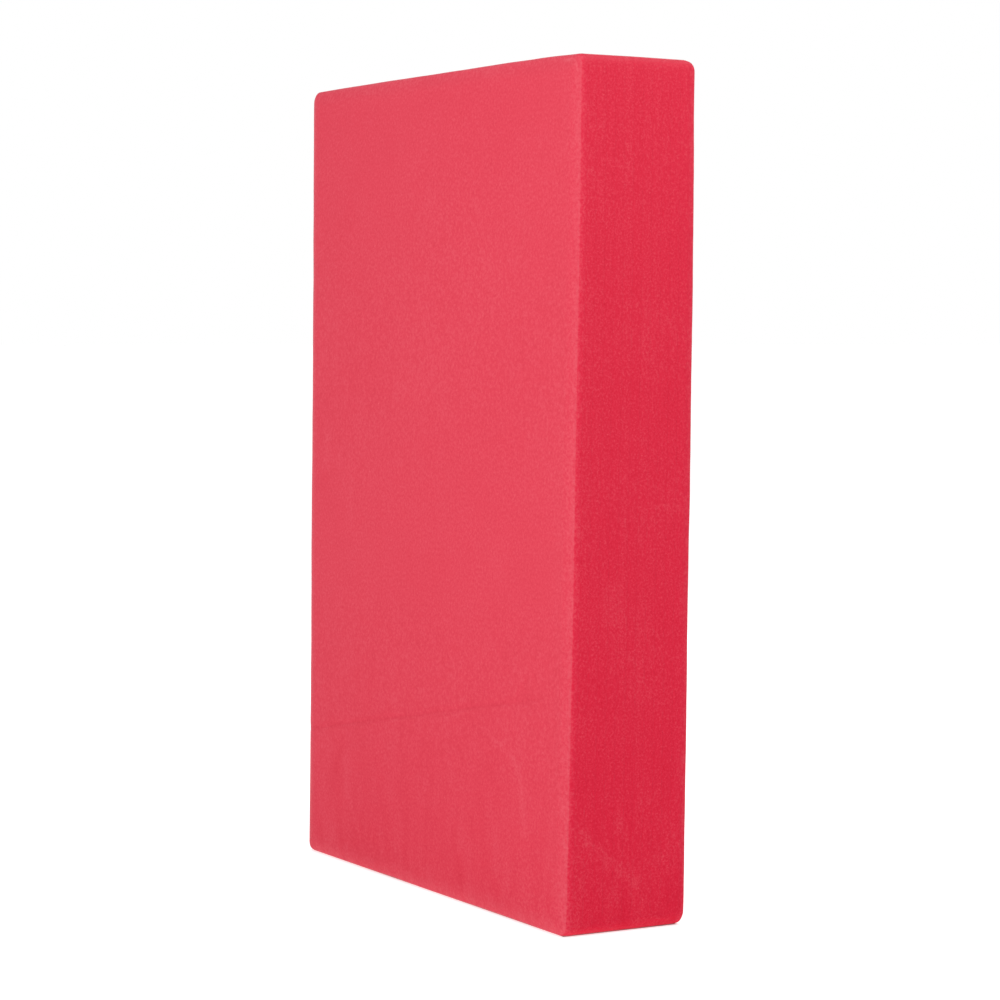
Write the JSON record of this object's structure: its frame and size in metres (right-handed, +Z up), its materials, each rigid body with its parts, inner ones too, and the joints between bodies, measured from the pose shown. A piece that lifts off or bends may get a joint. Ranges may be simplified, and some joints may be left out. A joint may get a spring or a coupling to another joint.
{
  "type": "foam exercise block",
  "caption": "Rectangular closed-cell foam block of bonded foam plies with soft rounded edges, for support and raising in floor exercise, standing on one short end.",
  "frame": {"origin": "centre of the short end that the block stands on, at floor level", "axes": "+Z up the block's height, which is its longest side; +X across its width; +Y through its thickness, from the front broad face to the back one"},
  "size_m": [0.205, 0.05, 0.305],
  "materials": {
    "foam_face": "matte",
    "foam_core": "matte",
    "bond_adhesive": "satin"
  },
  "bodies": {
    "root": {"front_face_ply": "foam_face", "core_ply_02": "foam_core", "core_ply_03": "foam_core", "core_ply_04": "foam_core", "core_ply_05": "foam_core", "core_ply_06": "foam_core", "core_ply_07": "foam_core", "core_ply_08": "foam_core", "core_ply_09": "foam_core", "core_ply_10": "foam_core", "core_ply_11": "foam_core", "core_ply_12": "foam_core", "back_face_ply": "foam_face", "bond_film_01": "bond_adhesive", "bond_film_02": "bond_adhesive", "bond_film_03": "bond_adhesive", "bond_film_04": "bond_adhesive", "bond_film_05": "bond_adhesive", "bond_film_06": "bond_adhesive", "bond_film_07": "bond_adhesive", "bond_film_08": "bond_adhesive", "bond_film_09": "bond_adhesive", "bond_film_10": "bond_adhesive", "bond_film_11": "bond_adhesive", "bond_film_12": "bond_adhesive"}
  },
  "joints": []
}
